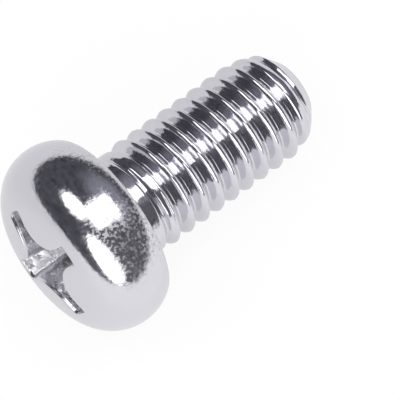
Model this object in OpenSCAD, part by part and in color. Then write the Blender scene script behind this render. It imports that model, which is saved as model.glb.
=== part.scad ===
/* [Thread] */
// Major diameter of the thread, over its crests
thread_d = 3; // [2.6:0.1:3.6]
// Distance along the screw from one crest to the next
pitch = 0.5; // [0.4:0.05:0.7]
// Width of the flat along each crest
crest_w = 0.1; // [0.05:0.01:0.12]
// Width of the flat at the bottom of the groove
root_w = 0.06; // [0.04:0.01:0.1]
// Angle between the two flanks of the groove
flank_angle = 60; // [55:1:65]
// Turn of the thread round the screw, in degrees
thread_turn = 157; // [0:1:359]
// Turns over which the groove runs out to nothing under the head
run_out_turns = 0.9; // [0.5:0.1:1.5]

/* [Shank] */
// Length under the head, from the bearing face to the end of the tip
length = 6.2; // [4:0.1:16]
// Height of the full thread crest over the neck
neck_step = 0.06; // [0.04:0.01:0.15]
// Length of the neck, from the bearing face to the full crest
neck_l = 1.05; // [0.9:0.05:2]
// Length of the neck that the groove leaves plain
plain_l = 0.5; // [0.4:0.05:0.7]
// Radius of the fillet between the bearing face and the neck
neck_fillet = 0.12; // [0.05:0.01:0.2]
// Length of the shallow taper that leads the screw in
lead_l = 0.62; // [0.4:0.02:1]
// Radius that the shallow taper loses
lead_drop = 0.21; // [0.1:0.01:0.25]
// Length of the steep chamfer at the very end
tip_l = 0.38; // [0.2:0.02:0.6]
// Radius that the steep chamfer loses
tip_drop = 0.44; // [0.3:0.02:0.6]

/* [Head] */
// Diameter of the head at its widest
head_d = 5.3; // [4.9:0.1:6]
// Height of the head over the bearing face
head_h = 2.2; // [2.15:0.05:2.6]
// Height of the widest place over the bearing face
head_wide_h = 0.75; // [0.6:0.05:0.85]
// Radius of the rounded side of the head
side_r = 1.3; // [1.1:0.05:1.35]

/* [Recess] */
// Diameter of the circle through the four wing ends at the head's surface
recess_d = 3.2; // [2.8:0.05:3.4]
// Width of a wing at its end
wing_w = 0.62; // [0.4:0.02:0.7]
// Depth of the wings under the top of the dome
recess_depth = 1.55; // [1.2:0.05:1.7]
// Depth of the blunt point under the wings
point_depth = 0.3; // [0.15:0.05:0.5]
// Slope of the wing ends, off the screw's own line, in degrees
wing_slope = 26.5; // [22:0.5:28]
// Draft of the wing sides, in degrees
wing_draft = 5; // [2:0.5:6]
// Radius of the rounded corners of metal between the wings
corner_r = 0.85; // [0.5:0.05:0.95]
// Turn of the recess round the screw, in degrees
recess_turn = 20.5; // [0:0.5:89.5]

/* [Hidden] */
$fn = 96;
major_r = thread_d / 2;
neck_r = major_r - neck_step;
head_r = head_d / 2;
past = 0.5;

// Shape of the groove: flat root, two flanks, and open above the crests by less than would
// make one turn of the cut run into the next
flank_slope = tan(flank_angle / 2);
thread_depth = (pitch - crest_w - root_w) / 2 / flank_slope;
over = crest_w / 4 / flank_slope;
groove_steps = 36;
groove_start = plain_l + root_w;

// The dome is the sphere that meets the rounded side without a break
side_x = head_r - side_r;
dome_rise = head_h - head_wide_h;
dome_r = (dome_rise ^ 2 + side_x ^ 2 - side_r ^ 2) / (2 * (dome_rise - side_r));
dome_z = dome_r - head_h;

// Recess: the wing ends meet the dome at this depth under its top
recess_r = recess_d / 2;
mouth_depth = dome_r - sqrt(dome_r ^ 2 - recess_r ^ 2);
corner_steps = 8;

// Tip: the shallow taper starts at this length, and the flat end has this radius
full_l = length - tip_l - lead_l;
end_r = major_r - lead_drop - tip_drop;

// Lying on a flat surface, the screw touches it with the side of its head and with whichever
// thread crest the surface meets first. The lowest line of the screw as it lies is azimuth 0,
// where the middle of a crest is at pitch * (turn - thread_turn / 360).
function crest_r(z) = major_r - lead_drop * max(0, z - full_l) / lead_l;
function tilt_to(z) =
    asin(side_r / norm([z + head_wide_h, crest_r(z) - side_x])) - atan2(crest_r(z) - side_x, z + head_wide_h);
crest_edges = [for (turn = [1:ceil(length / pitch) + 1], side = [-1, 1])
    pitch * (turn - thread_turn / 360) + side * crest_w / 2];
lie_tilt = min([for (z = crest_edges) if (z > neck_l + neck_step && z < length - tip_l) tilt_to(z)]);
lie_h = side_r + side_x * cos(lie_tilt) - head_wide_h * sin(lie_tilt);
middle = (length * cos(lie_tilt) + end_r * sin(lie_tilt) + dome_z * cos(lie_tilt) - dome_r) / 2;

// Half section of the head, as radius and height, with the bearing face at height 0 and the
// top of the dome below it
module head_section() {
    ray = [side_x, -head_wide_h - dome_z];
    reach = (dome_r + past) / norm(ray);
    low = dome_z - dome_r - past;
    intersection() {
        translate([0, -head_h - past]) square([head_r + past, head_h + past]);
        union() {
            intersection() {
                translate([0, dome_z]) circle(dome_r);
                polygon([[0, dome_z], [0, low], [reach * ray[0], low], [reach * ray[0], dome_z + reach * ray[1]]]);
            }
            translate([side_x, -head_wide_h]) circle(side_r);
        }
    }
}

// Half section of the shank: neck with its fillet, full diameter, and the two tapers of the tip
module shank_section() {
    polygon([[0, -past], [neck_r, -past], [neck_r, neck_l], [major_r, neck_l + neck_step], [major_r, full_l],
             [major_r - lead_drop, length - tip_l], [end_r, length], [0, length]]);
    difference() {
        translate([neck_r - neck_fillet, -neck_fillet]) square(2 * neck_fillet);
        translate([neck_r + neck_fillet, neck_fillet]) circle(neck_fillet);
    }
}

module blank() {
    rotate_extrude() {
        head_section();
        shank_section();
    }
}

// The thread is one right-handed groove. At its start under the head the root stands above the
// crests, and it comes down to full depth over the run-out.
module groove() {
    last = ceil((length + pitch - groove_start) / pitch * groove_steps);
    start_turn = thread_turn + 360 * (groove_start / pitch + 0.5);
    out_r = major_r + over;
    points = [for (i = [0:last])
        let(azimuth = start_turn + 360 * i / groove_steps,
            z = groove_start + pitch * i / groove_steps,
            lift = (thread_depth + over / 2) * max(0, 1 - i / groove_steps / run_out_turns),
            root_r = major_r - thread_depth + lift,
            half_root = root_w / 2,
            half_top = half_root + (out_r - root_r) * flank_slope)
        for (p = [[root_r, -half_root], [root_r, half_root], [out_r, half_top], [out_r, -half_top]])
            [p[0] * cos(azimuth), p[0] * sin(azimuth), z + p[1]]];
    sides = [for (i = [0:last - 1], k = [0:3])
        let(a = 4 * i + k, b = 4 * i + (k + 1) % 4)
        each [[a, a + 4, b], [b, a + 4, b + 4]]];
    polyhedron(points, concat([[0, 1, 2, 3]], sides, [[for (k = [3:-1:0]) 4 * last + k]]), convexity = 24);
}

// Outline of the recess at one depth: each quarter has a wing end and then the rounded corner
function recess_outline(depth) =
    let(wing_r = recess_r - (depth - mouth_depth) * tan(wing_slope),
        half = wing_w / 2 - (depth - mouth_depth) * tan(wing_draft),
        corner = corner_r * wing_r / recess_r)
    [for (quarter = [0:3])
        let(c = cos(90 * quarter), s = sin(90 * quarter))
        for (p = concat([[wing_r, -half], [wing_r, half]],
                        [for (i = [0:corner_steps]) let(a = -90 * (1 + i / corner_steps))
                            [half + corner + corner * cos(a), half + corner + corner * sin(a)]]))
            [c * p[0] - s * p[1], s * p[0] + c * p[1]]];

// The recess is a straight loft between two outlines, with a blunt point under it
module recess() {
    mouth = recess_outline(-past);
    floor_outline = recess_outline(recess_depth);
    n = len(mouth);
    points = concat([for (p = mouth) [p[0], p[1], -head_h - past]],
                    [for (p = floor_outline) [p[0], p[1], -head_h + recess_depth]],
                    [[0, 0, -head_h + recess_depth + point_depth]]);
    sides = [for (k = [0:n - 1]) let(b = (k + 1) % n) each [[k, n + k, b], [b, n + k, n + b]]];
    point = [for (k = [0:n - 1]) [n + k, 2 * n, n + (k + 1) % n]];
    rotate([0, 0, recess_turn]) polyhedron(points, concat([[for (k = [0:n - 1]) k]], sides, point), convexity = 8);
}

// Turns the screw from upright, tip up, to lying with its tip towards +X
module lie_down() {
    translate([-middle, 0, lie_h]) rotate([0, 90 + lie_tilt, 0]) children();
}

module pan_head_screw() {
    color("silver") lie_down() difference() {
        blank();
        groove();
        recess();
    }
}

pan_head_screw();
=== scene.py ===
# %% [markdown]
# # A pan head machine screw
# The object is one small steel screw, cold-headed and thread-rolled from wire and then plated
# with bright nickel. It lies on a pale surface, resting on the side of its head and on one
# crest of its thread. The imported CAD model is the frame: it fixes where the screw is and how
# large, and this script gives it a finer skin, its metal, its light and its camera.

# %% Load the frame and keep its box
import bpy, bmesh, math
from mathutils import Matrix, Vector


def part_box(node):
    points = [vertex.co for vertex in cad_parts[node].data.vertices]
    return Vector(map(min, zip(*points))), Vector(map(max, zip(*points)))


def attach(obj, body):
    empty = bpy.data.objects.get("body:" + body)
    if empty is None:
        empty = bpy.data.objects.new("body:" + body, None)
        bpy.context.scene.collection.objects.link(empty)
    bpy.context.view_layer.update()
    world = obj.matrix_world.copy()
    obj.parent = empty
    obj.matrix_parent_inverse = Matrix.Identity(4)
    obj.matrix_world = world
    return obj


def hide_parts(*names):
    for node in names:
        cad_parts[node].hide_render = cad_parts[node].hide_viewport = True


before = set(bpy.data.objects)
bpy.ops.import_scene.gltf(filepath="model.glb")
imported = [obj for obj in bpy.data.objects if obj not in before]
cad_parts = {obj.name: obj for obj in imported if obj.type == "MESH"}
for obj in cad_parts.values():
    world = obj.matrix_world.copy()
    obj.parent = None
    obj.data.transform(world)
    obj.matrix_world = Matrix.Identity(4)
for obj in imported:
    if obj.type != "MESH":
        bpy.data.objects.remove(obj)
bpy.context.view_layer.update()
low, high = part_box("pan_head_screw")
print("frame nodes", list(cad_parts))
print("CAD node", [round(1000 * v, 3) for v in low], "to", [round(1000 * v, 3) for v in high], "mm")

# %% [markdown]
# ## Sizes
# A screw is drawn standing up and then laid down, so every size is kept in millimetres along
# the screw's own axis: the bearing face under the head is height 0, the head goes down from it
# and the shank goes up.

# %% Sizes of the shank and its thread, in millimetres and degrees
MM = 0.001                        # metres in a millimetre
MAJOR_R, NECK_R, PITCH = 1.5, 1.44, 0.5
CREST_W, ROOT_W, FLANK_SLOPE = 0.1, 0.06, math.tan(math.radians(30))
THREAD_DEPTH = (PITCH - CREST_W - ROOT_W) / 2 / FLANK_SLOPE
THREAD_TURN, RUN_OUT_START, RUN_OUT_TURNS = 157, 0.56, 0.9
LENGTH, NECK_L, NECK_FILLET = 6.2, 1.05, 0.12
LEAD_L, LEAD_DROP, TIP_L, TIP_DROP = 0.62, 0.21, 0.38, 0.44
END_R = MAJOR_R - LEAD_DROP - TIP_DROP
print("thread depth", round(THREAD_DEPTH, 4), "mm, radius of the flat end", round(END_R, 4), "mm")

# %% Sizes of the head and its recess
HEAD_R, HEAD_H, HEAD_WIDE_H, SIDE_R = 2.65, 2.2, 0.75, 1.3
RECESS_R, WING_W, RECESS_DEPTH, POINT_DEPTH = 1.56, 0.54, 1.55, 0.3
WING_SLOPE, WING_DRAFT, CORNER_R, RECESS_TURN = 28, 5, 0.87, 20.5

# The dome is the sphere that meets the rounded side without a break
SIDE_X = HEAD_R - SIDE_R
dome_rise = HEAD_H - HEAD_WIDE_H
DOME_R = (dome_rise ** 2 + SIDE_X ** 2 - SIDE_R ** 2) / (2 * (dome_rise - SIDE_R))
DOME_Z = DOME_R - HEAD_H
MOUTH_DEPTH = DOME_R - math.sqrt(DOME_R ** 2 - RECESS_R ** 2)
print("dome radius", round(DOME_R, 4), "mm, recess opens", round(MOUTH_DEPTH, 4), "mm under the top")

# %% [markdown]
# ## How the screw lies
# The screw rests on the side of its head and on one crest near the tip, which tips its axis
# down towards the tip. It could be turned as an object, but the export wants every piece
# unturned and unscaled. So one matrix is kept here, and at the end it is applied to the points:
# it lays the screw down and turns millimetres into metres, right onto the CAD solid.

# %% The matrix that lays the screw down
TILT = math.radians(11.2154)      # the axis under the horizontal
LIE_H = 2.47835                   # the middle of the bearing face over the floor
MIDDLE = 1.97333                  # from the bearing face to the middle of the lying screw
lay_down = (Matrix.Scale(MM, 4) @ Matrix.Translation((-MIDDLE, 0, LIE_H))
            @ Matrix.Rotation(math.pi / 2 + TILT, 4, "Y"))
print("tip end lies at", [round(1000 * v, 3) for v in lay_down @ Vector((0, 0, LENGTH))], "mm")

# %% [markdown]
# ## The cross recess
# The recess is stamped by a punch with four tapered wings. Seen from above, its outline is four
# wing ends, joined by straight sides and by large rounded corners of metal. Each wing end is a
# short arc round the axis, as a punch that is ground round leaves it. The outline shrinks evenly
# with depth. It could be cut with a Boolean, but the cut would leave ragged faces that show in
# polished metal. Here each ring of points follows the outline itself, so the rim gets its true
# small radius.

# %% Outline of the recess at one depth under the top of the dome
END_STEPS, FLAT_STEPS, CORNER_STEPS = 4, 4, 20
AROUND = 4 * (2 * END_STEPS + 2 * FLAT_STEPS + CORNER_STEPS)    # points on every ring


def recess_outline(depth):
    fall = depth - MOUTH_DEPTH
    wing_r = RECESS_R - fall * math.tan(math.radians(WING_SLOPE))
    half = WING_W / 2 - fall * math.tan(math.radians(WING_DRAFT))
    corner = CORNER_R * wing_r / RECESS_R
    middle, reach = half + corner, math.hypot(wing_r, half)
    end = [(math.sqrt(reach ** 2 - (half * i / END_STEPS) ** 2), half * i / END_STEPS)
           for i in range(END_STEPS + 1)]
    flat = [wing_r + (middle - wing_r) * i / FLAT_STEPS for i in range(FLAT_STEPS)]
    turns = [math.radians(-90 - 90 * i / CORNER_STEPS) for i in range(CORNER_STEPS)]
    quarter = end[:-1] + [(x, half) for x in flat]
    quarter += [(middle + corner * math.cos(a), middle + corner * math.sin(a)) for a in turns]
    quarter += [(half, middle + (wing_r - middle) * i / FLAT_STEPS) for i in range(FLAT_STEPS)]
    quarter += [(y, x) for x, y in end[:0:-1]]
    return [Vector((c * x - s * y, s * x + c * y))
            for c, s in ((1, 0), (0, 1), (-1, 0), (0, -1)) for x, y in quarter]


print("points on one ring", len(recess_outline(1.0)), "of", AROUND)

# %% [markdown]
# ## The head
# The head is a turned form: a shallow dome, a round side and a flat bearing face with a small
# fillet to the neck. It could be a Screw or Spin of one profile, but the rings have to start as
# the recess outline and end as a circle. So the rings are written out from the recess floor to
# the neck. All of them have the same number of points, which makes the skin plain rows of quads.

# %% Height of the head's surface at a radius, and where the recess walls come out of it
dome_edge = SIDE_X * DOME_R / (DOME_R - SIDE_R)


def head_height(radius):
    if radius < dome_edge:
        return DOME_Z - math.sqrt(DOME_R ** 2 - radius ** 2)
    return -HEAD_WIDE_H - math.sqrt(SIDE_R ** 2 - (radius - SIDE_X) ** 2)


def mouth_depth(k, guess=0.2, tries=6):
    for i in range(tries):
        guess = head_height(recess_outline(guess)[k].length) + HEAD_H
    return guess


mouth_depths = [mouth_depth(k) for k in range(AROUND)]
print("recess mouth lies", round(min(mouth_depths), 3), "to", round(max(mouth_depths), 3), "mm deep")

# %% Rings of the recess: a floor that rounds up into the walls, then the walls
RIM_R = 0.09                      # radius of the rim between a wall and the dome
WALL_ROWS = 10
# Each row of the floor: how much higher its outline is taken and it lies, and its share of size
FLOOR_ROWS = ((0, 0, 0.9), (0.009, 0.033, 0.96), (0.024, 0.088, 1))

head_rings = []
for higher, rise, share in FLOOR_ROWS:
    head_rings.append([(p.x * share, p.y * share, -HEAD_H + RECESS_DEPTH - rise)
                       for p in recess_outline(RECESS_DEPTH - higher)])
wall_low = RECESS_DEPTH - FLOOR_ROWS[-1][1]
outlines = {}
for row in range(1, WALL_ROWS + 1):
    ring = []
    for k in range(AROUND):
        depth = wall_low + (mouth_depths[k] + RIM_R - wall_low) * row / WALL_ROWS
        key = round(depth, 4)
        if key not in outlines:
            outlines[key] = recess_outline(key)
        ring.append((outlines[key][k].x, outlines[key][k].y, -HEAD_H + depth))
    head_rings.append(ring)
print("rings in the recess", len(head_rings))

# %% [markdown]
# ## Rim and dome
# The punch rolls a little metal over at the mouth of the recess, and that rim draws the bright
# line round the cross. A Bevel modifier could round it, but it would pinch where the wing ends
# are tight. Here the rim is a quarter circle that leaves the wall at right angles to the
# outline, and from there straight rows spread over the dome to one circle.

# %% Rings of the rim and the dome
BLEND_R, RIM_ROWS, DOME_ROWS = 1.95, 6, 18
CORNERS = [2 * math.pi * k / AROUND for k in range(AROUND)]


def circle(radius, height):
    return [(radius * math.cos(a), radius * math.sin(a), height) for a in CORNERS]


def on_dome(p, lift=0):
    return (p.x, p.y, head_height(p.length) + lift)


wall_top = [Vector(p[:2]) for p in head_rings[-1]]
along_rim = [(wall_top[(k + 1) % AROUND] - wall_top[k - 1]).normalized() for k in range(AROUND)]
for row in range(1, RIM_ROWS + 1):
    a = math.radians(90 * row / RIM_ROWS)
    out, lift = RIM_R * (1 - math.cos(a)), RIM_R * (1 - math.sin(a))
    head_rings.append([on_dome(p + Vector((t.y, -t.x)) * out, lift)
                       for p, t in zip(wall_top, along_rim)])
rim_edge = [Vector(p[:2]) for p in head_rings[-1]]
blend = [Vector(p[:2]) for p in circle(BLEND_R, 0)]
for row in range(1, DOME_ROWS + 1):
    head_rings.append([on_dome(p.lerp(q, row / DOME_ROWS)) for p, q in zip(rim_edge, blend)])
print("rings up to the dome's blend circle", len(head_rings))

# %% Rings of the rounded side, the bearing face and the neck fillet
SIDE_ROWS, FACE_ROWS, FILLET_ROWS = 30, 5, 6
# Points that round the edge of the bearing face, from where the side would meet it
FACE_ROUNDING = ((0.01, -0.03), (-0.004, -0.008), (-0.035, 0))

side_start = -math.acos((BLEND_R - SIDE_X) / SIDE_R)
side_end = math.asin(HEAD_WIDE_H / SIDE_R)
side_angles = [side_start + (side_end - side_start) * i / SIDE_ROWS for i in range(1, SIDE_ROWS)]
turned = [(SIDE_X + SIDE_R * math.cos(a), -HEAD_WIDE_H + SIDE_R * math.sin(a)) for a in side_angles]
face_edge = SIDE_X + SIDE_R * math.cos(side_end)
turned += [(face_edge + out, height) for out, height in FACE_ROUNDING]
flat_edge, fillet_edge = face_edge + FACE_ROUNDING[-1][0], NECK_R + NECK_FILLET
turned += [(flat_edge + (fillet_edge - flat_edge) * i / FACE_ROWS, 0) for i in range(1, FACE_ROWS)]
fillet_angles = [math.radians(90 * i / FILLET_ROWS) for i in range(FILLET_ROWS + 1)]
turned += [(fillet_edge - NECK_FILLET * math.sin(a), NECK_FILLET - NECK_FILLET * math.cos(a))
           for a in fillet_angles]
head_rings += [circle(radius, height) for radius, height in turned]
print("rings in the head", len(head_rings))

# %% Mesh from rings, closed with a pole at either end where one is given
def mesh_from_rings(name, rings, first_pole=None, last_pole=None):
    n = len(rings[0])
    verts = [p for ring in rings for p in ring]
    faces = [(row * n + k, row * n + (k + 1) % n, (row + 1) * n + (k + 1) % n, (row + 1) * n + k)
             for row in range(len(rings) - 1) for k in range(n)]
    if first_pole:
        verts.append(first_pole)
        faces += [((k + 1) % n, k, len(verts) - 1) for k in range(n)]
    if last_pole:
        verts.append(last_pole)
        last = (len(rings) - 1) * n
        faces += [(last + k, last + (k + 1) % n, len(verts) - 1) for k in range(n)]
    mesh = bpy.data.meshes.new(name)
    mesh.from_pydata(verts, [], faces)
    mesh.transform(Matrix.Rotation(math.radians(RECESS_TURN), 4, "Z"))
    print(name, len(verts), "points", len(faces), "faces")
    return mesh


head_mesh = mesh_from_rings("head", head_rings, first_pole=(0, 0, -HEAD_H + RECESS_DEPTH + POINT_DEPTH))

# %% [markdown]
# ## The end of the tip
# The wire was cropped before it was rolled, and rolling draws the skin of the end forward a
# little more than its core. So the flat end of the tip has a very shallow hollow. A disc with
# its middle pushed in would do, but a few rings keep the edge of the hollow soft.

# %% Tip end
HOLLOW = ((END_R, 0), (0.8, 0), (0.74, 0.015), (0.5, 0.04), (0.2, 0.05))   # radius and depth
HOLLOW_DEPTH = 0.052
end_mesh = mesh_from_rings("tip_end", [circle(radius, LENGTH - depth) for radius, depth in HOLLOW],
                           last_pole=(0, 0, LENGTH - HOLLOW_DEPTH))

# %% [markdown]
# ## The thread
# A rolled thread is one groove that winds round the shank. Its shape is a rule: the distance
# from the nearest groove's middle gives the radius at every point. It could be a swept profile
# with a Boolean, but only a rule can fade the groove out and give it soft edges. So the shank is
# a Geometry Nodes tree: a grid is wrapped round the axis, its rows are slanted to follow the
# helix, and each point takes the lower of two radii, the plain turned blank and the groove.

# %% Helpers that add a node with its values and write formulas as Math nodes
def add_node(tree, kind, inputs=None, **settings):
    node = tree.nodes.new(kind)
    for name, value in settings.items():
        setattr(node, name, value)
    for name, value in (inputs or {}).items():
        node.inputs[name].default_value = value
    return node


class Formula:
    def __init__(self, tree):
        self.tree = tree

    def do(self, operation, *values):
        node = add_node(self.tree, "ShaderNodeMath", operation=operation)
        for socket, value in zip(node.inputs, values):
            if isinstance(value, (int, float)):
                socket.default_value = value
            else:
                self.tree.links.new(value, socket)
        return node.outputs[0]

    def add(self, a, b): return self.do("ADD", a, b)
    def sub(self, a, b): return self.do("SUBTRACT", a, b)
    def mul(self, a, b): return self.do("MULTIPLY", a, b)
    def div(self, a, b): return self.do("DIVIDE", a, b)


print("helpers add_node and Formula")

# %% Named inputs of the shank tree
SHANK_INPUTS = {"Points around": AROUND, "Rows": 420, "Row step": PITCH / 32, "Pitch": PITCH,
                "Start height": NECK_FILLET, "End height": LENGTH,
                "Start angle": math.radians(RECESS_TURN), "Thread angle": math.radians(THREAD_TURN),
                "Major radius": MAJOR_R, "Neck radius": NECK_R, "Neck length": NECK_L,
                "Thread depth": THREAD_DEPTH, "Root width": ROOT_W, "Flank slope": FLANK_SLOPE,
                "Run-out start": RUN_OUT_START, "Run-out turns": RUN_OUT_TURNS, "Run-out lift": 0.022,
                "Taper start": LENGTH - TIP_L - LEAD_L, "Taper slope": LEAD_DROP / LEAD_L,
                "Chamfer start": LENGTH - TIP_L, "Chamfer radius": MAJOR_R - LEAD_DROP,
                "Chamfer slope": TIP_DROP / TIP_L, "Root softness": 0.05, "Crest softness": 0.2,
                "Dents per millimetre": 3.5, "Dent depth": 0.022, "Dent fade": 0.2}
print("inputs of the shank tree", len(SHANK_INPUTS))

# %% Radius of the turned blank, with its neck and its two tapers
def blank_radius(f, given, height):
    neck = f.do("MAXIMUM", given["Neck radius"],
                f.add(given["Neck radius"], f.sub(height, given["Neck length"])))
    taper = f.sub(given["Major radius"], f.mul(f.sub(height, given["Taper start"]), given["Taper slope"]))
    chamfer = f.sub(given["Chamfer radius"],
                    f.mul(f.sub(height, given["Chamfer start"]), given["Chamfer slope"]))
    return f.do("MINIMUM", f.do("MINIMUM", neck, given["Major radius"]),
                f.do("MINIMUM", taper, chamfer))


print("taper from", round(SHANK_INPUTS["Taper start"], 3), "mm, chamfer from",
      round(SHANK_INPUTS["Chamfer start"], 3), "mm under the head")

# %% [markdown]
# ## The groove and its dents
# Rolling presses the groove and lets metal flow up into the crests, so nothing on a rolled
# thread is sharp. A smooth maximum rounds the bottom of the groove, and a smooth minimum
# between blank and groove rounds the crests. Under the head the groove starts above the surface
# and comes down over most of a turn. Then shallow dents, as thousands of screws in one barrel
# leave them, come off the radius. A bump in the material could fake them, but true shape
# also breaks up the long reflections. The noise behind them has no chance in it: the same
# place always gives the same dent.

# %% Radius of the groove, and the depth of the dents
def groove_radius(f, given, height, angle):
    pitch = given["Pitch"]
    phase = f.sub(f.sub(f.div(height, pitch), f.div(f.sub(angle, given["Thread angle"]), 2 * math.pi)), 0.5)
    off = f.mul(f.sub(phase, f.do("ROUND", phase)), pitch)
    turns_in = f.div(f.sub(f.sub(height, off), given["Run-out start"]), pitch)
    lift = f.mul(f.do("MAXIMUM", f.sub(1, f.div(turns_in, given["Run-out turns"])), 0),
                 f.add(given["Thread depth"], given["Run-out lift"]))
    side = f.do("SMOOTH_MAX", f.sub(f.do("ABSOLUTE", off), f.div(given["Root width"], 2)), 0,
                given["Root softness"])
    return f.add(f.add(f.sub(given["Major radius"], given["Thread depth"]), lift),
                 f.div(side, given["Flank slope"]))


def point_at(tree, f, radius, angle, height):
    point = add_node(tree, "ShaderNodeCombineXYZ")
    tree.links.new(f.mul(radius, f.do("COSINE", angle)), point.inputs["X"])
    tree.links.new(f.mul(radius, f.do("SINE", angle)), point.inputs["Y"])
    tree.links.new(height, point.inputs["Z"])
    return point.outputs[0]


def dent_depth(tree, f, given, angle, height):
    dents = add_node(tree, "ShaderNodeTexNoise", {"Detail": 1})
    tree.links.new(point_at(tree, f, given["Major radius"], angle, height), dents.inputs["Vector"])
    tree.links.new(given["Dents per millimetre"], dents.inputs["Scale"])
    to_end = f.do("MINIMUM", f.sub(height, given["Start height"]), f.sub(given["End height"], height))
    fade = f.do("MINIMUM", f.div(to_end, given["Dent fade"]), 1)
    return f.mul(f.mul(dents.outputs["Fac"], fade), given["Dent depth"])


print("groove", round(THREAD_DEPTH, 3), "mm deep, dents up to", SHANK_INPUTS["Dent depth"], "mm")

# %% The shank tree: slanted grid, rule, weld and metal
WELD = 0.002                      # points nearer than this become one, in millimetres


def shank_tree():
    tree = bpy.data.node_groups.new("threaded_shank", "GeometryNodeTree")
    for name, value in SHANK_INPUTS.items():
        kind = "NodeSocketInt" if isinstance(value, int) else "NodeSocketFloat"
        tree.interface.new_socket(name=name, in_out="INPUT", socket_type=kind)
    tree.interface.new_socket(name="Metal", in_out="INPUT", socket_type="NodeSocketMaterial")
    tree.interface.new_socket(name="Geometry", in_out="OUTPUT", socket_type="NodeSocketGeometry")
    link, f = tree.links.new, Formula(tree)
    given = add_node(tree, "NodeGroupInput").outputs
    grid = add_node(tree, "GeometryNodeMeshGrid", {"Size X": 1, "Size Y": 1})
    link(f.add(given["Points around"], 1), grid.inputs["Vertices X"])
    link(f.add(given["Rows"], 1), grid.inputs["Vertices Y"])
    place = add_node(tree, "ShaderNodeSeparateXYZ")
    link(add_node(tree, "GeometryNodeInputPosition").outputs[0], place.inputs[0])
    around, along = f.add(place.outputs["X"], 0.5), f.add(place.outputs["Y"], 0.5)
    rise = f.add(f.mul(along, f.mul(given["Rows"], given["Row step"])), f.mul(around, given["Pitch"]))
    slanted = f.add(f.sub(given["Start height"], given["Pitch"]), rise)
    height = f.do("MINIMUM", f.do("MAXIMUM", slanted, given["Start height"]), given["End height"])
    angle = f.add(given["Start angle"], f.mul(around, 2 * math.pi))
    radius = f.do("SMOOTH_MIN", blank_radius(f, given, height),
                  groove_radius(f, given, height, angle), given["Crest softness"])
    radius = f.sub(radius, dent_depth(tree, f, given, angle, height))
    move = add_node(tree, "GeometryNodeSetPosition")
    link(point_at(tree, f, radius, angle, height), move.inputs["Position"])
    weld = add_node(tree, "GeometryNodeMergeByDistance", {"Distance": WELD})
    real = add_node(tree, "GeometryNodeRealizeInstances")
    metal = add_node(tree, "GeometryNodeSetMaterial")
    link(given["Metal"], metal.inputs["Material"])
    chain = [grid, move, weld, real, metal, add_node(tree, "NodeGroupOutput")]
    for before, after in zip(chain, chain[1:]):
        link(before.outputs[0], after.inputs[0])
    return tree


shank_rule = shank_tree()
print("shank tree", len(shank_rule.nodes), "nodes")

# %% [markdown]
# ## Bright nickel
# Bright nickel is a mirror with a grey tint, a slightly cool one in this light. What makes it
# look real is what is not perfect: a fine grain, and specks where the plate was rubbed dull. An
# image could carry them, but noise needs no unwrapping and stays sharp. Grain and specks are a
# shader node group, so that the same effect with other values also serves for the walls of the
# recess, which the punch left rough. Two attributes on the points say where each belongs:
# "worn" is how strongly the plate is rubbed, and "stamped" is how deep in the recess a point
# lies. The deep walls also get a darkened base colour from it, which is painted shade: the
# shade that falls deep in the recess.

# %% Grain group
FINE_GRAIN, BROAD_GRAIN = 12000, 1400     # grains per metre
BROAD_SHARE = 0.6                 # how much the broad grain adds to the height
SPECK_RANGE = {"From Min": 0.44, "From Max": 0.7}      # the part of the fine grain that turns dull


def grain_group():
    group = bpy.data.node_groups.new("plating_grain", "ShaderNodeTree")
    for name, value in (("Fineness", 1.0), ("Roughness low", 0.1), ("Roughness high", 0.2)):
        socket = group.interface.new_socket(name=name, in_out="INPUT", socket_type="NodeSocketFloat")
        socket.default_value = value
    for name in ("Height", "Roughness"):
        group.interface.new_socket(name=name, in_out="OUTPUT", socket_type="NodeSocketFloat")
    link, f = group.links.new, Formula(group)
    given = add_node(group, "NodeGroupInput").outputs
    out = add_node(group, "NodeGroupOutput").inputs
    place = add_node(group, "ShaderNodeTexCoord")
    fine = add_node(group, "ShaderNodeTexNoise", {"Detail": 3})
    broad = add_node(group, "ShaderNodeTexNoise", {"Scale": BROAD_GRAIN, "Detail": 4})
    specks = add_node(group, "ShaderNodeMapRange", SPECK_RANGE)
    for noise in (fine, broad):
        link(place.outputs["Object"], noise.inputs["Vector"])
    link(f.mul(given["Fineness"], FINE_GRAIN), fine.inputs["Scale"])
    link(fine.outputs["Fac"], specks.inputs["Value"])
    link(given["Roughness low"], specks.inputs["To Min"])
    link(given["Roughness high"], specks.inputs["To Max"])
    link(f.do("MULTIPLY_ADD", broad.outputs["Fac"], BROAD_SHARE, fine.outputs["Fac"]), out["Height"])
    link(specks.outputs[0], out["Roughness"])
    return group


plating_grain = grain_group()
print("grain group", len(plating_grain.nodes), "nodes")

# %% Nickel material
# The deep colour is painted shade, mixed in deep in the recess where shade falls
PLATE_COLOUR, PAINTED_SHADE_COLOUR = (0.695, 0.685, 0.725, 1), (0.36, 0.35, 0.355, 1)
POLISHED, DULLER = 0.1, 0.22      # roughness of the plate, and what full wear adds in its specks
STAMPED_GRAIN = {"Fineness": 0.45, "Roughness low": 0.27, "Roughness high": 0.46}
STAMPED_WAVES, BUMP_HEIGHT = 14, 0.000003      # waves of the walls, and metres to a height of 1
WALLS_FROM = 0.1                  # value of "stamped" at the top of the walls
COLOUR_A, COLOUR_B, COLOUR_OUT = 6, 7, 2       # places of the colour sockets on a Mix node


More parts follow.
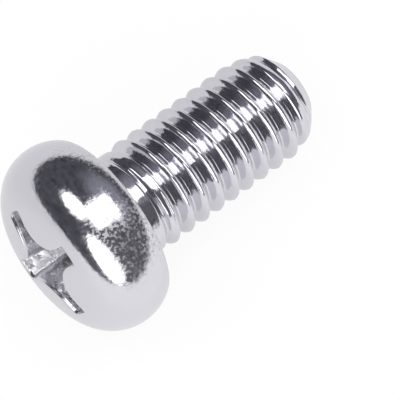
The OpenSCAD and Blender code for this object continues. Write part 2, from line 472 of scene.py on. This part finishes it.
def nickel():
    mat = bpy.data.materials.new("bright_nickel")
    mat.use_nodes = True
    tree, link, f = mat.node_tree, mat.node_tree.links.new, Formula(mat.node_tree)
    shader = tree.nodes["Principled BSDF"]
    shader.inputs["Metallic"].default_value = 1
    plated = add_node(tree, "ShaderNodeGroup", node_tree=plating_grain)
    stamped = add_node(tree, "ShaderNodeGroup", node_tree=plating_grain)
    plated.inputs["Roughness low"].default_value = POLISHED
    for name, value in STAMPED_GRAIN.items():
        stamped.inputs[name].default_value = value
    worn = add_node(tree, "ShaderNodeAttribute", attribute_name="worn").outputs["Fac"]
    link(f.do("MULTIPLY_ADD", worn, DULLER, POLISHED), plated.inputs["Roughness high"])
    # The "stamped" attribute marks the recess walls for their rough grain, and also carries painted shade
    # that darkens the base colour of the deep walls
    where = add_node(tree, "ShaderNodeAttribute", attribute_name="stamped").outputs["Fac"]
    walls = add_node(tree, "ShaderNodeMapRange", {"From Max": WALLS_FROM})
    link(where, walls.inputs["Value"])
    tint = add_node(tree, "ShaderNodeMix", data_type="RGBA")
    tint.inputs[COLOUR_A].default_value = PLATE_COLOUR
    tint.inputs[COLOUR_B].default_value = PAINTED_SHADE_COLOUR
    link(where, tint.inputs["Factor"])
    link(tint.outputs[COLOUR_OUT], shader.inputs["Base Color"])
    waves = f.mul(stamped.outputs["Height"], STAMPED_WAVES)
    height, rough = add_node(tree, "ShaderNodeMix"), add_node(tree, "ShaderNodeMix")
    for mix, smooth, coarse in ((height, plated.outputs["Height"], waves),
                                (rough, plated.outputs["Roughness"], stamped.outputs["Roughness"])):
        link(walls.outputs[0], mix.inputs["Factor"])
        link(smooth, mix.inputs["A"])
        link(coarse, mix.inputs["B"])
    bump = add_node(tree, "ShaderNodeBump", {"Strength": 1, "Distance": BUMP_HEIGHT})
    link(height.outputs["Result"], bump.inputs["Height"])
    link(rough.outputs["Result"], shader.inputs["Roughness"])
    link(bump.outputs[0], shader.inputs["Normal"])
    return mat


bright_nickel = nickel()
print("material", bright_nickel.name, len(bright_nickel.node_tree.nodes), "nodes")

# %% [markdown]
# ## One skin
# The real screw is one piece of metal, so head, shank and tip become one closed mesh. The tree
# is run on a small host object and its result is taken as a plain mesh. The three meshes could
# stay apart, but a closed skin shades without a seam and can be checked: every edge of it has
# exactly two faces. One place needs help for that. The slanted rows of the thread's grid stop
# up to 0.018 mm short of the tip, over 12.5 degrees round it, and a fill closes that gap.

# %% Run the thread tree
host = bpy.data.objects.new("shank_host", bpy.data.meshes.new("shank_host"))
bpy.context.scene.collection.objects.link(host)
modifier = host.modifiers.new("thread", "NODES")
modifier.node_group = shank_rule
for item in modifier.node_group.interface.items_tree:
    if item.in_out == "INPUT":
        modifier[item.identifier] = bright_nickel if item.name == "Metal" else SHANK_INPUTS[item.name]
host.update_tag()
shank_mesh = bpy.data.meshes.new_from_object(host.evaluated_get(bpy.context.evaluated_depsgraph_get()))
bpy.data.objects.remove(host)
print("shank", len(shank_mesh.vertices), "points", len(shank_mesh.polygons), "faces")

# %% Join head, shank and tip
skin = bmesh.new()
for mesh in (head_mesh, shank_mesh, end_mesh):
    skin.from_mesh(mesh)
bmesh.ops.remove_doubles(skin, verts=skin.verts, dist=WELD)
gap_edges = [e for e in skin.edges if e.is_boundary]
bmesh.ops.holes_fill(skin, edges=gap_edges, sides=0)
print("open edges before the fill", len(gap_edges))
bmesh.ops.recalc_face_normals(skin, faces=skin.faces)
open_edges = sum(1 for e in skin.edges if len(e.link_faces) != 2)
for face in skin.faces:
    face.smooth = True
    face.material_index = 0
screw_mesh = bpy.data.meshes.new("pan_head_screw_plated")
skin.to_mesh(screw_mesh)
skin.free()
print("skin", len(screw_mesh.vertices), "points, open edges", open_edges)

# %% [markdown]
# ## Wear, stamping and painted shade
# The side of the head was rubbed against other screws, most on one flank and near the bearing
# face, and the shank less than the head. Vertex paint could say so, but a rule on the point's
# place is shorter and can be changed by one number. The same goes for the recess: a point is
# on its walls when it lies under the dome, and the painted shade on its walls starts some way
# down and leaves out the four wing ends, which stay bright in the photo.

# %% Where the plate is worn
SHANK_WEAR, HEAD_WEAR, FLANK_WEAR, FACE_WEAR = 0.3, 0.5, 1.5, 0.8
# Each pair is where a wear starts and where it is full, across the head (Y) or along it (Z)
FLANK_NEAR_Y, FLANK_FAR_Y, FLANK_Z = (0, -0.7), (-2.3, -1.7), (-1.55, -1.4)
FACE_Z, FACE_END_Y = (-0.8, -0.4), -1.9


def ramp(value, start, end):
    return max(0.0, min(1.0, (value - start) / (end - start)))


def wear_at(p):
    if p.z >= 0:
        return SHANK_WEAR
    flank = min(ramp(p.y, *FLANK_NEAR_Y), ramp(p.y, *FLANK_FAR_Y), ramp(p.z, *FLANK_Z))
    near_face = ramp(p.z, *FACE_Z) if p.y > FACE_END_Y else 0
    return HEAD_WEAR + FLANK_WEAR * flank + FACE_WEAR * near_face


wear = screw_mesh.attributes.new("worn", "FLOAT", "POINT")
wear.data.foreach_set("value", [wear_at(v.co) for v in screw_mesh.vertices])
print("points with strong wear", sum(1 for d in wear.data if d.value > 1))

# %% Where the punch stamped it, and where shade is painted in the recess
INSIDE_R, INSIDE_Z = 1.7, -0.3    # the recess lies within this radius and below this height
# Under the dome, where the walls start and are full, and the same off the wing ends for the painted shade
WALL_DEPTHS, WING_MARGIN = (0.05, 0.1), (0.05, 0.25)
PAINTED_SHADE_FROM, PAINTED_SHADE_OVER = 0.45, 0.4  # depth at which the walls start to darken, and over how much


def stamped_and_shade_at(p):
    radius = p.xy.length
    if radius >= INSIDE_R or p.z >= INSIDE_Z:
        return 0
    depth = p.z - head_height(radius)
    wing_end = RECESS_R - (p.z - head_height(RECESS_R)) * math.tan(math.radians(WING_SLOPE))
    off_wing_end = ramp(wing_end - radius, *WING_MARGIN)
    # Painted shade: deep in the recess and away from the wing ends, the walls get a darkened base colour
    # for the shade that falls there
    painted_shade = max(0.0, depth - PAINTED_SHADE_FROM) / PAINTED_SHADE_OVER * off_wing_end
    return min(1.0, WALLS_FROM * ramp(depth, *WALL_DEPTHS) + (1 - WALLS_FROM) * painted_shade)


stamped_and_shade = screw_mesh.attributes.new("stamped", "FLOAT", "POINT")
stamped_and_shade.data.foreach_set("value", [stamped_and_shade_at(v.co) for v in screw_mesh.vertices])
print("points on the recess walls", sum(1 for d in stamped_and_shade.data if d.value > 0))

# %% Lay the screw down and hand it to the frame
screw_mesh.transform(lay_down)
screw_mesh.materials.clear()
screw_mesh.materials.append(bright_nickel)
screw = bpy.data.objects.new("pan_head_screw_plated", screw_mesh)
bpy.context.scene.collection.objects.link(screw)
screw_mesh.calc_loop_triangles()
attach(screw, "root")
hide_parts("pan_head_screw")
print("screw", len(screw_mesh.loop_triangles), "triangles, open edges", open_edges)

# %% [markdown]
# ## Floor
# Small bright parts are photographed on a sheet of white paper. The floor is that sheet. More
# light would turn it white but would also bleach the metal. So a plain white glow is mixed over
# the lit paper for camera rays, which leaves a trace of the screw's soft shadow. In the metal
# the paper is mixed with an even glow as well, which falls off towards the back of the sheet.
# That gives the lower half of every round form its pale, smooth grey.

# %% Paper
PAPER = 0.5                       # half the width of the sheet, in metres
PAPER_COLOUR, GLOW_COLOUR = (0.76, 0.76, 0.78, 1), (0.995, 0.995, 1, 1)
GLOW_SEEN, GLOW_IN_METAL = 0.91, 0.6      # share of the glow for the camera and in reflections
# From the front of the screw to its back, in metres, and the glow there as reflections see it
GLOW_FALL = {"From Min": -0.008, "From Max": 0.008, "To Min": 0.95, "To Max": 0.64}


def paper():
    mat = bpy.data.materials.new("white_paper")
    mat.use_nodes = True
    tree, link, f = mat.node_tree, mat.node_tree.links.new, Formula(mat.node_tree)
    lit = tree.nodes["Principled BSDF"]
    for name, value in (("Base Color", PAPER_COLOUR), ("Roughness", 1), ("Specular IOR Level", 0)):
        lit.inputs[name].default_value = value
    glow = add_node(tree, "ShaderNodeEmission", {"Color": GLOW_COLOUR})
    rays = add_node(tree, "ShaderNodeLightPath").outputs
    place, split = add_node(tree, "ShaderNodeTexCoord"), add_node(tree, "ShaderNodeSeparateXYZ")
    fall = add_node(tree, "ShaderNodeMapRange", GLOW_FALL)
    link(place.outputs["Object"], split.inputs[0])
    link(split.outputs["Y"], fall.inputs["Value"])
    link(f.do("MAXIMUM", rays["Is Camera Ray"], fall.outputs[0]), glow.inputs["Strength"])
    seen = f.mul(rays["Is Camera Ray"], GLOW_SEEN)
    share = f.do("MULTIPLY_ADD", rays["Is Glossy Ray"], GLOW_IN_METAL, seen)
    mix = add_node(tree, "ShaderNodeMixShader")
    for socket, source in zip(mix.inputs, (share, lit.outputs[0], glow.outputs[0])):
        link(source, socket)
    link(mix.outputs[0], tree.nodes["Material Output"].inputs["Surface"])
    return mat


def stage_piece(name, mesh, mat):
    mesh.materials.append(mat)
    piece = bpy.data.objects.new(name, mesh)
    bpy.context.scene.collection.objects.link(piece)
    return piece


sheet = bpy.data.meshes.new("floor")
sheet.from_pydata([(-PAPER, -PAPER, 0), (PAPER, -PAPER, 0), (PAPER, PAPER, 0), (-PAPER, PAPER, 0)],
                  [], [(0, 1, 2, 3)])
floor = stage_piece("floor", sheet, paper())
print(floor.name, [round(v, 2) for v in floor.dimensions], "m")

# %% [markdown]
# ## World
# Behind the paper the picture is plain white. The world is that white for the camera, in
# reflections and through glass, and a little less as light. It could be lit by an image of a
# studio, but the lamps below do that work and can be matched to the photo one by one.

# %% White world
WORLD_LIGHT = 0.8                 # strength as light on what is not a mirror
world = bpy.data.worlds.new("studio")
bpy.context.scene.world = world
world.use_nodes = True
backdrop = world.node_tree.nodes["Background"]
backdrop.inputs["Color"].default_value = (1, 1, 1, 1)
rays, f = add_node(world.node_tree, "ShaderNodeLightPath").outputs, Formula(world.node_tree)
seen = f.do("MAXIMUM", rays["Is Camera Ray"], rays["Is Glossy Ray"])
seen = f.do("MAXIMUM", seen, rays["Is Transmission Ray"])
world.node_tree.links.new(f.do("MAXIMUM", seen, WORLD_LIGHT), backdrop.inputs["Strength"])
print("world", world.name, len(world.node_tree.nodes), "nodes")

# %% [markdown]
# ## The dark room
# Polished metal has no colour of its own to speak of: it shows the room. In this picture the
# room above the paper is dark, so every surface that faces upwards turns dark grey, with a
# sharp line where the paper ends. Dark cards could stand round the screw, but their edges would
# show. A round tent of dark cloth over the table has none. Only reflections see it. The tent is
# no lamp, yet it glows: its dim glow is painted light for the room. The glow is painted a little
# paler in front, with a pattern of light and shade as if the cloth were folded, and a painted
# pool of light beside the overhead lamp, as if that lamp's light spilled onto it.

# %% Dark cloth, a glow of painted light and shade
TENT_R = 0.6                      # in metres
# The colours of the tent's glow, which is painted light: paler in front and dimmer at the back
FRONT_GLOW, BACK_GLOW = (0.15, 0.15, 0.165, 1), (0.085, 0.085, 0.1, 1)
BACK_FROM = 0.6                   # share of the way to the back where the cloth is darkest
# Painted light and shade as if the cloth were folded; the tent itself is a smooth sphere
PAINTED_FOLD_SHADE = {"Scale": 16, "Detail": 2}
FOLD_GLOW = {"From Min": 0.3, "From Max": 0.7, "To Min": 0.5, "To Max": 1.5}
# A painted pool of light beside the overhead lamp: its middle in metres, then how far off it fades and its
# glow
PAINTED_SPILL_MIDDLE = (0.418, 0.074, 0.424)         # where the cloth is palest, in metres
PAINTED_SPILL = {"From Min": 0.157, "From Max": 0.43, "To Min": 2.2, "To Max": 0}  # metres off, and glow


def dark_cloth_glow():
    mat = bpy.data.materials.new("dark_cloth_glow")
    mat.use_nodes = True
    tree, link, f = mat.node_tree, mat.node_tree.links.new, Formula(mat.node_tree)
    tree.nodes.remove(tree.nodes["Principled BSDF"])
    place, split = add_node(tree, "ShaderNodeTexCoord"), add_node(tree, "ShaderNodeSeparateXYZ")
    reach = add_node(tree, "ShaderNodeMapRange", {"From Min": -TENT_R, "From Max": TENT_R})
    tone = add_node(tree, "ShaderNodeValToRGB")
    stops = tone.color_ramp.elements
    stops[0].color, stops[1].color, stops[1].position = FRONT_GLOW, BACK_GLOW, BACK_FROM
    fold_shade = add_node(tree, "ShaderNodeTexNoise", PAINTED_FOLD_SHADE)
    depth = add_node(tree, "ShaderNodeMapRange", FOLD_GLOW)
    near = add_node(tree, "ShaderNodeVectorMath", {1: PAINTED_SPILL_MIDDLE}, operation="DISTANCE")
    spilled_light = add_node(tree, "ShaderNodeMapRange", PAINTED_SPILL, interpolation_type="SMOOTHSTEP")
    glow = add_node(tree, "ShaderNodeEmission")
    for socket in (split.inputs[0], fold_shade.inputs["Vector"], near.inputs[0]):
        link(place.outputs["Object"], socket)
    link(split.outputs["Y"], reach.inputs["Value"])
    link(reach.outputs[0], tone.inputs[0])
    link(tone.outputs[0], glow.inputs["Color"])
    link(fold_shade.outputs["Fac"], depth.inputs["Value"])
    link(near.outputs["Value"], spilled_light.inputs["Value"])
    # Glow strength: the painted fold pattern plus the painted pool of light
    link(f.add(depth.outputs[0], spilled_light.outputs[0]), glow.inputs["Strength"])
    link(glow.outputs[0], tree.nodes["Material Output"].inputs["Surface"])
    return mat


cloth = dark_cloth_glow()
print("material", cloth.name, len(cloth.node_tree.nodes), "nodes")

# %% Dark tent, seen in reflections only
tent_shape = bmesh.new()
bmesh.ops.create_uvsphere(tent_shape, u_segments=48, v_segments=24, radius=TENT_R)
tent_mesh = bpy.data.meshes.new("dark_tent")
tent_shape.to_mesh(tent_mesh)
tent_shape.free()
tent = stage_piece("dark_tent", tent_mesh, cloth)
tent.visible_camera = tent.visible_diffuse = tent.visible_shadow = tent.visible_transmission = False
print("dark tent", len(tent_mesh.polygons), "faces")

# %% [markdown]
# ## Three soft lamps
# Each soft lamp is a white patch in the metal, and the patch's shape shows where the lamp stood.
# One long rectangle hangs almost overhead. An ellipse stands behind on the left, and a larger one
# low in front on the left. A room image could hold them all, but a lamp of its own can be moved
# and widened alone. Each is set by the direction to its middle, the direction towards which its
# long side runs, and its two widths in degrees, so it can be matched to the picture by eye. All
# have the same plain brightness.

# %% Lamps
LAMP_GLOW, LAMP_AWAY = 2.2, 0.4   # brightness, and distance in metres


def direction(azimuth, elevation):
    a, e = math.radians(azimuth), math.radians(elevation)
    return Vector((math.cos(e) * math.cos(a), math.cos(e) * math.sin(a), math.sin(e)))


def soft_lamp(name, middle, towards, length_deg, width_deg, shape):
    out, side = direction(*middle), direction(*towards)
    along = (side - out * side.dot(out)).normalized()
    across = out.cross(along)
    lamp = bpy.data.lights.new(name, "AREA")
    lamp.shape = shape
    lamp.size = 2 * LAMP_AWAY * math.tan(math.radians(length_deg / 2))
    lamp.size_y = 2 * LAMP_AWAY * math.tan(math.radians(width_deg / 2))
    filled = math.pi / 4 if shape == "ELLIPSE" else 1
    lamp.energy = LAMP_GLOW * math.pi * lamp.size * lamp.size_y * filled
    holder = bpy.data.objects.new(name, lamp)
    turn = Matrix((along, across, along.cross(across))).transposed().to_4x4()
    holder.matrix_world = Matrix.Translation(out * LAMP_AWAY) @ turn
    holder.visible_camera = False
    bpy.context.scene.collection.objects.link(holder)
    print(name, round(1000 * lamp.size), "by", round(1000 * lamp.size_y), "mm", round(lamp.energy, 3), "W")


soft_lamp("overhead_lamp", (343, 77.5), (355, 40), 66, 31, "RECTANGLE")
soft_lamp("back_lamp", (141, 56), (121, 44), 37, 28, "ELLIPSE")
soft_lamp("front_lamp", (223, 26), (242, 9), 60, 38, "ELLIPSE")

# %% [markdown]
# ## Camera
# The photo was taken from well away with a long lens, looking down on the head end. The camera
# could be placed by hand until the picture fits. Here it is worked out from what the picture
# gives: how steeply and from which side it looks, how many pixels a millimetre takes, and where
# the middle of the bearing face falls.

# %% Camera
VIEW_DOWN, VIEW_YAW = math.radians(73.155), math.radians(39.712)
PIXELS_PER_MM, AWAY = 39.214, 131.7       # at the bearing face, and the distance in millimetres
PICTURE, FACE_PIXEL = 400, (107.84, 219.63)
SENSOR = 36                       # width of the sensor, in millimetres

right = Vector((math.cos(VIEW_YAW), -math.sin(VIEW_YAW), 0))
ahead = Vector((math.cos(VIEW_DOWN) * math.sin(VIEW_YAW), math.cos(VIEW_DOWN) * math.cos(VIEW_YAW),
                -math.sin(VIEW_DOWN)))
up = right.cross(ahead)
from_middle = [pixel - PICTURE / 2 for pixel in FACE_PIXEL]
offset = (right * from_middle[0] - up * from_middle[1]) / PIXELS_PER_MM + ahead * AWAY
face_middle = lay_down @ Vector((0, 0, 0))
lens = bpy.data.cameras.new("camera")
lens.sensor_width = SENSOR
lens.lens = SENSOR * PIXELS_PER_MM * AWAY / PICTURE
lens.clip_start, lens.clip_end = 0.005, 10
camera = bpy.data.objects.new("camera", lens)
camera.matrix_world = (Matrix.Translation(face_middle - offset * MM)
                       @ Matrix((right, up, -ahead)).transposed().to_4x4())
bpy.context.scene.collection.objects.link(camera)
bpy.context.scene.camera = camera
print("camera at", [round(v, 4) for v in camera.location], "lens", round(lens.lens, 1), "mm")

# %% [markdown]
# ## View settings and finish
# Standard shows each colour as it is, which keeps the paper white and the metal neutral. The
# filmic transforms would grey the paper.

# %% View transform
bpy.context.scene.view_settings.view_transform = "Standard"
